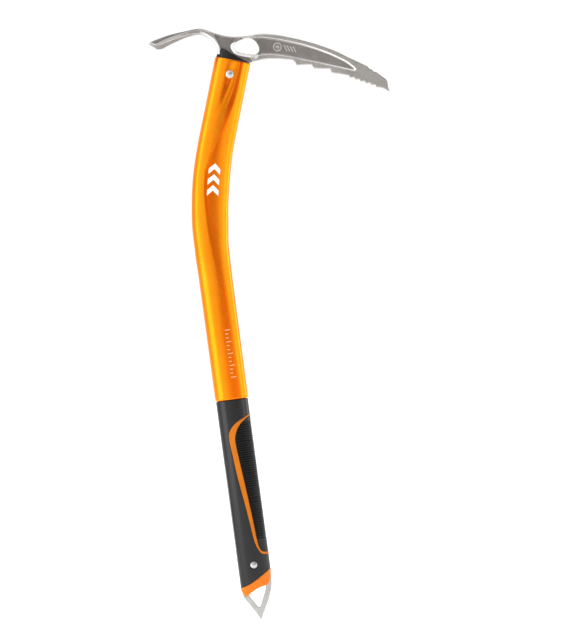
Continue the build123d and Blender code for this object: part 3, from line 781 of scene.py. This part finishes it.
# ---------------- materials
class Look:
    """A procedural material: a Principled shader and helpers that add nodes in front of it."""

    def __init__(self, name, **settings):
        self.material = bpy.data.materials.new(name)
        self.material.use_nodes = True
        self.tree = self.material.node_tree
        self.shader = self.tree.nodes["Principled BSDF"]
        for key, value in settings.items():
            self.shader.inputs[key.replace("_", " ")].default_value = value
        self.place = self.tree.nodes.new("ShaderNodeTexCoord").outputs["Object"]

    def node(self, kind, inputs=None, **settings):
        made = self.tree.nodes.new("ShaderNode" + kind)
        for key, value in settings.items():
            setattr(made, key, value)
        for key, value in (inputs or {}).items():
            if isinstance(value, bpy.types.NodeSocket):
                self.tree.links.new(value, made.inputs[key])
            else:
                made.inputs[key].default_value = value
        return made

    def noise(self, scale, detail=3.0, stretch=(1, 1, 1)):
        moved = self.node("Mapping", {"Vector": self.place, "Scale": stretch}).outputs["Vector"]
        return self.node("TexNoise", {"Vector": moved, "Scale": scale, "Detail": detail}).outputs["Fac"]

    def spread(self, value, low, high, to_low=0.0, to_high=1.0):
        """The value, with low to high moved to to_low to to_high."""
        return self.node("MapRange", {"Value": value, "From Min": low, "From Max": high, "To Min": to_low,
                                      "To Max": to_high}).outputs["Result"]

    def mix(self, factor, a, b):
        """Blend of two colours; each of the three inputs is a value or a socket."""
        made = self.node("Mix", data_type="RGBA")
        for index, value in ((0, factor), (6, a), (7, b)):
            if isinstance(value, bpy.types.NodeSocket):
                self.tree.links.new(value, made.inputs[index])
            elif index:
                made.inputs[index].default_value = (*value, 1.0)
            else:
                made.inputs[index].default_value = value
        return made.outputs[2]

    def maths(self, operation, a, b):
        return self.node("Math", {0: a, 1: b}, operation=operation).outputs[0]

    def attribute(self, name):
        return self.node("Attribute", attribute_name=name).outputs["Fac"]

    def drive(self, socket, value):
        self.tree.links.new(value, self.shader.inputs[socket])

    def bump(self, height, strength, distance, below=None):
        inputs = {"Height": height, "Strength": strength, "Distance": distance}
        if below is not None:
            inputs["Normal"] = below
        return self.node("Bump", inputs).outputs["Normal"]


def forged_steel():
    """Satin steel: darker in the pockets, with painted shade on the adze, painted highlights along the edges
    and bright where it is engraved.
    """
    look = Look("forged_steel", Metallic=1.0, Specular_IOR_Level=0.5)
    recess, engraved = look.attribute("recess"), look.attribute("engraved")
    painted_highlight = look.attribute("painted_highlight")
    cloud = look.spread(look.noise(70, 4), 0.3, 0.7)
    flange = look.mix(cloud, (0.40, 0.381, 0.358), (0.48, 0.457, 0.434))
    pocket_tone_and_painted_shade = look.mix(cloud, (0.195, 0.174, 0.165), (0.247, 0.221, 0.212))
    # the pockets' darker tone; the same colour paints shade on the adze's underside and at the neck pocket's
    # foot by the collar
    colour = look.mix(recess, flange, pocket_tone_and_painted_shade)
    # painted shade: near-black steel on the adze's upper face
    colour = look.mix(look.attribute("shaded"), colour, (0.06, 0.056, 0.052))
    colour = look.mix(engraved, colour, (0.42, 0.40, 0.385))
    # painted highlight: near-white colour along the eye's bevel, the pocket's rim and the heel
    look.drive("Base Color", look.mix(painted_highlight, colour, (0.90, 0.885, 0.87)))
    grain = look.noise(1500, 4)
    brushed = look.noise(420, 3, (1.0, 1.0, 9.0))
    smear = look.spread(grain, 0.3, 0.7, 0.30, 0.42)
    rough = look.maths("ADD", smear, look.maths("MULTIPLY", recess, 0.10))
    look.drive("Roughness", look.maths("SUBTRACT", rough, look.maths("MULTIPLY", painted_highlight, 0.12)))
    fine = look.bump(grain, 0.35, 0.00005)
    look.drive("Normal", look.bump(brushed, 0.18, 0.00006, fine))
    return look.material


def spike_steel():
    """Pale, evenly blasted steel."""
    look = Look("spike_steel", Metallic=0.9, Specular_IOR_Level=0.5)
    cloud = look.spread(look.noise(160, 4), 0.3, 0.7)
    look.drive("Base Color", look.mix(cloud, (0.40, 0.40, 0.39), (0.49, 0.49, 0.48)))
    grain = look.noise(1800, 3)
    look.drive("Roughness", look.spread(grain, 0.3, 0.7, 0.36, 0.5))
    look.drive("Normal", look.bump(grain, 0.3, 0.00005))
    return look.material


def rivet_steel():
    """Smoother steel, faintly hammered."""
    look = Look("rivet_steel", Metallic=1.0, Specular_IOR_Level=0.5)
    cloud = look.spread(look.noise(500, 3), 0.3, 0.7)
    look.drive("Base Color", look.mix(cloud, (0.43, 0.425, 0.42), (0.52, 0.515, 0.51)))
    look.drive("Roughness", look.spread(look.noise(2500, 3), 0.3, 0.7, 0.26, 0.38))
    look.drive("Normal", look.bump(look.noise(900, 2), 0.15, 0.0001))
    return look.material


def anodised_orange():
    """Orange-dyed anodising over drawn aluminium, with painted shade: redder and darker in the bands of the
    folds that turn from the light.
    """
    look = Look("anodised_orange", Metallic=0.95, Specular_IOR_Level=0.3)
    cloud = look.spread(look.noise(45, 3), 0.3, 0.7)
    dye_and_painted_shade = look.mix(cloud, (0.86, 0.225, 0.005), (0.91, 0.255, 0.007))
    shade = look.attribute("shade")
    # painted shade: redder and darker in the bands, darkest where the shade reaches 2
    dye_and_painted_shade = look.mix(shade, dye_and_painted_shade, (0.86, 0.148, 0.003))
    look.drive("Base Color", look.mix(look.spread(shade, 1.0, 2.0), dye_and_painted_shade, (0.43, 0.067, 0.002)))
    drawn = look.noise(300, 3, (6.0, 6.0, 0.35))
    grain = look.noise(2200, 2)
    look.drive("Roughness", look.spread(grain, 0.3, 0.7, 0.23, 0.32))
    fine = look.bump(grain, 0.2, 0.00003)
    look.drive("Normal", look.bump(drawn, 0.12, 0.00004, fine))
    return look.material


def moulded(name, dark, light, low, high, gloss):
    """Rubber or plastic with a fine spark-eroded grain, its roughness between low and high."""
    look = Look(name, Specular_IOR_Level=gloss)
    look.drive("Base Color", look.mix(look.spread(look.noise(120, 4), 0.3, 0.7), dark, light))
    grain = look.noise(2400, 3)
    look.drive("Roughness", look.spread(grain, 0.3, 0.7, low, high))
    look.drive("Normal", look.bump(grain, 0.4, 0.00006))
    return look.material


def printed(name, dark, light):
    """Slightly speckled ink."""
    look = Look(name, Specular_IOR_Level=0.5)
    look.drive("Base Color", look.mix(look.spread(look.noise(900, 4), 0.35, 0.65), dark, light))
    look.drive("Roughness", look.spread(look.noise(2400, 2), 0.3, 0.7, 0.35, 0.5))
    return look.material


def wear(piece, material):
    """Gives a piece one material all over."""
    piece.data.materials.append(material)


# ---------------- stage, light and camera
# Brightness of the surroundings along X, Z and Y of the direction, from -1 to 1. The three are added.
SIDE_LIGHT = [(-1.0, 0.9), (-0.86, 1.1), (-0.76, 1.4), (-0.62, 1.4), (-0.5, 1.25), (-0.28, 0.95),
              (-0.08, 0.52), (0.08, 0.38), (0.22, 0.28), (0.54, 0.22), (0.70, 0.8), (0.86, 1.35), (1.0, 1.3)]
TOP_LIGHT = [(-1.0, 0.0), (0.4, 0.05), (0.65, 0.65), (1.0, 0.9)]
BACK_LIGHT = [(-1.0, 0.0), (0.88, 0.0), (0.97, 0.7), (1.0, 0.8)]
BACKGROUND = 1.05                        # how bright the camera sees the surroundings
LAMPS = [("key_left", (-1.9, -0.9, 0.9), (0.03, 0, 0.33), (0.7, 2.0), 9),        # place, aim, size, watts
         ("low_left", (-1.55, -1.35, 0.12), (0.0, 0, 0.15), (0.45, 0.5), 1.9),
         ("low_right", (1.9, -0.9, 0.10), (0.0, 0, 0.15), (0.35, 0.45), 1.2),
         ("rim_right", (1.9, 0.4, 0.6), (0.03, 0, 0.33), (0.5, 2.0), 9),
         ("top_back", (0.1, 0.5, 2.2), (0.06, 0, 0.5), (1.6, 0.9), 3)]
FLOOR_HALF, FLOOR_Z, FLOOR_GLOW = 9, -0.0005, 0.42
CAMERA_ROLL = math.radians(-7.64)
CAMERA_DISTANCE = 3.0
VIEW_CENTRE = (0.06075, 0.30666)         # x, z seen at the middle of the picture
VIEW_HEIGHT = 0.6383                     # metres covered by the picture's long side
SENSOR_WIDTH = 36.0


def brightness_curve(tree, value, stops):
    """Grey that follows the stops as the value goes from -1 to 1."""
    place = tree.nodes.new("ShaderNodeMapRange")
    tree.links.new(value, place.inputs["Value"])
    place.inputs["From Min"].default_value = -1.0
    shades = tree.nodes.new("ShaderNodeValToRGB")
    tree.links.new(place.outputs["Result"], shades.inputs[0])
    marks = shades.color_ramp.elements
    while len(marks) < len(stops):
        marks.new(0.5)
    for mark, (at, grey) in zip(marks, stops):
        mark.position = (at + 1) / 2
        mark.color = (grey, grey, grey, 1.0)
    return shades.outputs["Color"]


def surroundings(tree):
    """Colour of the studio in every direction."""
    axes = tree.nodes.new("ShaderNodeSeparateXYZ")
    tree.links.new(tree.nodes.new("ShaderNodeTexCoord").outputs["Generated"], axes.inputs[0])
    total = brightness_curve(tree, axes.outputs["X"], SIDE_LIGHT)
    for axis, stops in (("Z", TOP_LIGHT), ("Y", BACK_LIGHT)):
        joined = tree.nodes.new("ShaderNodeMix")
        joined.data_type = "RGBA"
        joined.blend_type = "ADD"
        joined.inputs[0].default_value = 1.0
        tree.links.new(total, joined.inputs[6])
        tree.links.new(brightness_curve(tree, axes.outputs[axis], stops), joined.inputs[7])
        total = joined.outputs[2]
    return total


def studio_world():
    """Pale studio: bright at both sides, overhead and far behind, dim in front; white to the camera."""
    world = bpy.data.worlds.new("studio")
    bpy.context.scene.world = world
    world.use_nodes = True
    tree = world.node_tree
    lit, seen = (tree.nodes.new("ShaderNodeBackground") for _ in range(2))
    chooser = tree.nodes.new("ShaderNodeMixShader")
    tree.links.new(surroundings(tree), lit.inputs["Color"])
    seen.inputs["Color"].default_value = (1, 1, 1, 1)
    seen.inputs["Strength"].default_value = BACKGROUND
    tree.links.new(tree.nodes.new("ShaderNodeLightPath").outputs["Is Camera Ray"], chooser.inputs[0])
    tree.links.new(lit.outputs[0], chooser.inputs[1])
    tree.links.new(seen.outputs[0], chooser.inputs[2])
    tree.links.new(chooser.outputs[0], tree.nodes["World Output"].inputs["Surface"])


def make_floor():
    """Pale paper floor that glows slightly, just under the spike's tip."""
    mesh = bpy.data.meshes.new("floor")
    corners = [(FLOOR_HALF * i, FLOOR_HALF * j, 0) for i, j in ((-1, -1), (1, -1), (1, 1), (-1, 1))]
    mesh.from_pydata(corners, [], [(0, 1, 2, 3)])
    floor = bpy.data.objects.new("floor", mesh)
    bpy.context.scene.collection.objects.link(floor)
    floor.location.z = FLOOR_Z
    look = Look("floor_paper", Roughness=0.9, Specular_IOR_Level=0.1, Emission_Strength=FLOOR_GLOW,
                Emission_Color=(1.0, 1.0, 1.0, 1.0))
    look.drive("Base Color", look.mix(look.noise(3, 2), (0.86, 0.86, 0.86), (0.88, 0.88, 0.88)))
    wear(floor, look.material)


def make_camera():
    """Camera square to the axe's side, rolled as in the photograph."""
    data = bpy.data.cameras.new("camera")
    data.sensor_width = SENSOR_WIDTH
    data.lens = SENSOR_WIDTH * CAMERA_DISTANCE / VIEW_HEIGHT
    data.clip_start = 0.05
    data.clip_end = 60.0
    camera = bpy.data.objects.new("camera", data)
    bpy.context.scene.collection.objects.link(camera)
    camera.location = (VIEW_CENTRE[0], -CAMERA_DISTANCE, VIEW_CENTRE[1])
    level = Matrix.Rotation(math.radians(90), 4, "X")
    roll = Matrix.Rotation(CAMERA_ROLL, 4, "Z")
    camera.rotation_euler = (level @ roll).to_euler()
    bpy.context.scene.camera = camera


def add_area(name, place, aim, size, power):
    """Rectangular lamp that faces a point."""
    data = bpy.data.lights.new(name, "AREA")
    data.shape = "RECTANGLE"
    data.size, data.size_y = size
    data.energy = power
    lamp = bpy.data.objects.new(name, data)
    bpy.context.scene.collection.objects.link(lamp)
    lamp.location = place
    lamp.rotation_euler = (Vector(aim) - Vector(place)).to_track_quat("-Z", "Y").to_euler()


make_camera()
studio_world()
make_floor()
for settings in LAMPS:
    add_area(*settings)

grip_black = moulded("grip_black", (0.0008, 0.0008, 0.0008), (0.0018, 0.0018, 0.0018), 0.17, 0.25, 0.4)
pad_black = moulded("pad_black", (0.0003, 0.0003, 0.0003), (0.0008, 0.0008, 0.0008), 0.18, 0.26, 0.3)
grip_orange = moulded("grip_orange", (0.51, 0.130, 0.001), (0.56, 0.150, 0.002), 0.45, 0.6, 0.2)
cap_orange = moulded("cap_orange", (0.66, 0.150, 0.001), (0.71, 0.172, 0.002), 0.38, 0.5, 0.25)
collar_black = moulded("collar_black", (0.004, 0.004, 0.0036), (0.008, 0.008, 0.0072), 0.24, 0.36, 0.25)
white_print = printed("white_print", (0.86, 0.84, 0.80), (0.93, 0.92, 0.89))
peach_print = printed("peach_print", (0.95, 0.50, 0.24), (1.0, 0.56, 0.30))
rivet_finish = rivet_steel()
head_rivet_middle = path_frame(SHAFT_TOP - HEAD_RIVET_DOWN)[0]

wear(build_head(), forged_steel())
wear(build_shaft(), anodised_orange())
wear(build_marks("chevron_marks", chevrons()), white_print)
wear(build_marks("ruler_marks", ruler_ticks()), peach_print)
wear(build_collar(), collar_black)
wear(build_spike(), spike_steel())
wear(build_cap(), cap_orange)
wear(build_rivet("head_rivet_domed", "head_rivet", head_rivet_middle, HEAD_RIVET), rivet_finish)
wear(build_rivet("spike_rivet_domed", "spike_rivet", (0.0, SPIKE_RIVET_Z), SPIKE_RIVET), rivet_finish)
for piece, material in zip(build_grip(), (grip_black, pad_black, grip_orange)):
    wear(piece, material)

bpy.context.scene.view_settings.view_transform = "Standard"
